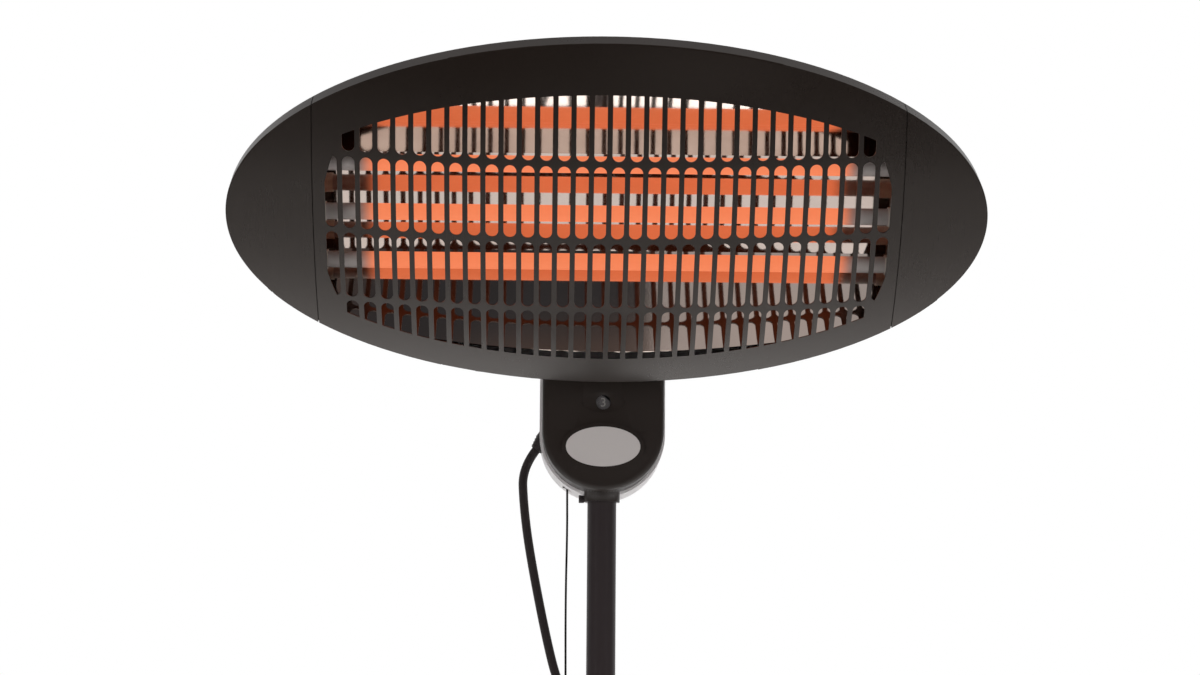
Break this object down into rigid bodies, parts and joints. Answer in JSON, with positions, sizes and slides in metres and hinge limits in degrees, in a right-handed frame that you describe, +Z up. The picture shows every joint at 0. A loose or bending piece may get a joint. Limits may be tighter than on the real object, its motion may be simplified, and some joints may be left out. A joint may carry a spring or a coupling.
{
  "type": "quartz heater",
  "caption": "Free-standing quartz heater: oval tilting head with a slotted grille over glowing tubes, on a telescopic pole with a pull-cord switch box and a round base.",
  "frame": {"origin": "on the floor under the middle of the pole, at the bottom of the feet", "axes": "+Z up the pole, the face looks along -Y and is tilted down, +X to the right of someone facing it"},
  "size_m": [0.5, 0.44, 1.8627],
  "materials": {
    "black_enamel": "satin black enamel, baked on",
    "silver_enamel": "silver-grey enamel, satin",
    "polished_aluminium": "polished bent sheet",
    "quartz": "clear fused quartz, slightly cloudy at the ends",
    "glowing_wire": "resistance wire, glowing orange",
    "steatite": "unglazed white ceramic",
    "zinc_steel": "zinc-plated steel",
    "black_steel": "gloss black powder coat",
    "cast_alloy": "die-cast alloy, as cast",
    "black_gloss": "gloss black moulding",
    "silver_plastic": "silver-grey moulding, fine satin",
    "plain_plate": "brushed oval plate, left blank",
    "clear_lens": "clear smoked window",
    "dial_grey": "dark grey disc with pale printed numbers",
    "switch_plastic": "dark moulded switch cases",
    "pale_plastic": "pale moulded insulator",
    "black_grip": "matt black moulding",
    "pull_string": "dark braided cord",
    "black_rubber": "black rubber sheath",
    "cast_stone": "cast concrete weight",
    "pin_brass": "bare brass pins"
  },
  "bodies": {
    "base": {"base_cover": "black_steel", "base_weight": "cast_stone", "base_plate": "zinc_steel", "base_bolts": "zinc_steel", "rubber_feet": "black_rubber", "pole_flange": "black_steel", "lower_pole": "black_steel", "middle_pole": "black_steel", "pole_coupling": "cast_alloy", "pole_bush": "pale_plastic", "height_clamp": "black_grip", "cable_outlet": "black_rubber", "cable_lower_run": "black_rubber", "cable_coil": "black_rubber", "cable_plug_run": "black_rubber", "coil_tie": "black_grip", "plug_body": "black_grip", "plug_pins": "pin_brass"},
    "clamp_knob": {"clamp_knob": "black_grip"},
    "upper": {"upper_pole": "black_steel", "guide_ring": "pale_plastic", "neck_core": "cast_alloy", "neck_front_cover": "black_gloss", "neck_rear_shell": "silver_plastic", "neck_screws": "zinc_steel", "label_plate": "plain_plate", "window_lens": "clear_lens", "pull_switch": "switch_plastic", "terminal_block": "pale_plastic", "tip_over_switch": "switch_plastic", "cord_eyelet": "black_grip", "cable_gland": "black_rubber", "cable_inlet": "black_rubber", "power_cable": "black_rubber", "collar_screw": "black_steel"},
    "indicator": {"indicator_disc": "dial_grey"},
    "lever": {"switch_lever": "switch_plastic"},
    "pull": {"pull_cord": "pull_string", "pull_toggle": "black_grip"},
    "head": {"grille_panel": "black_enamel", "left_end_cap": "black_enamel", "right_end_cap": "black_enamel", "rear_casing": "silver_enamel", "head_screws": "zinc_steel", "reflector": "polished_aluminium", "reflector_standoffs": "zinc_steel", "left_tube_bracket": "zinc_steel", "right_tube_bracket": "zinc_steel", "quartz_tube_top": "quartz", "quartz_tube_middle": "quartz", "quartz_tube_bottom": "quartz", "heating_element_top": "glowing_wire", "heating_element_middle": "glowing_wire", "heating_element_bottom": "glowing_wire", "tube_end_ceramics": "steatite", "terminal_strips": "zinc_steel", "tilt_bracket": "black_steel", "tilt_bolt": "zinc_steel"},
    "tilt_knob": {"tilt_knob": "black_grip"}
  },
  "joints": [
    {"name": "height_slide", "type": "slide", "parent": "base", "child": "upper", "axis": [0, 0, 1], "range_m": [0, 0.35]},
    {"name": "clamp_knob_turn", "type": "hinge", "parent": "base", "child": "clamp_knob", "pos_m": [0, 0, 1.371], "axis": [1, 0, 0], "range_deg": [0, 360]},
    {"name": "head_tilt", "type": "hinge", "parent": "upper", "child": "head", "pos_m": [0, 0, 1.68], "axis": [1, 0, 0], "range_deg": [-35, 15]},
    {"name": "tilt_knob_turn", "type": "hinge", "parent": "head", "child": "tilt_knob", "pos_m": [0, 0, 1.68], "axis": [1, 0, 0], "range_deg": [0, 360]},
    {"name": "cord_pull", "type": "slide", "parent": "upper", "child": "pull", "axis": [0, 0, -1], "range_m": [0, 0.008], "stiffness_N_per_m": 1000, "springref_m": -0.004},
    {"name": "lever_swing", "type": "hinge", "parent": "upper", "child": "lever", "pos_m": [-0.006, 0.0205, 1.614], "axis": [0, 1, 0], "range_deg": [-25.46, 0]},
    {"name": "indicator_turn", "type": "hinge", "parent": "upper", "child": "indicator", "pos_m": [-0.013, 0, 1.6292], "axis": [0, 1, 0], "continuous": true}
  ],
  "couplings": [
    {"joint": "lever_swing", "follows": "cord_pull", "rad_per_m": -55.556}
  ]
}
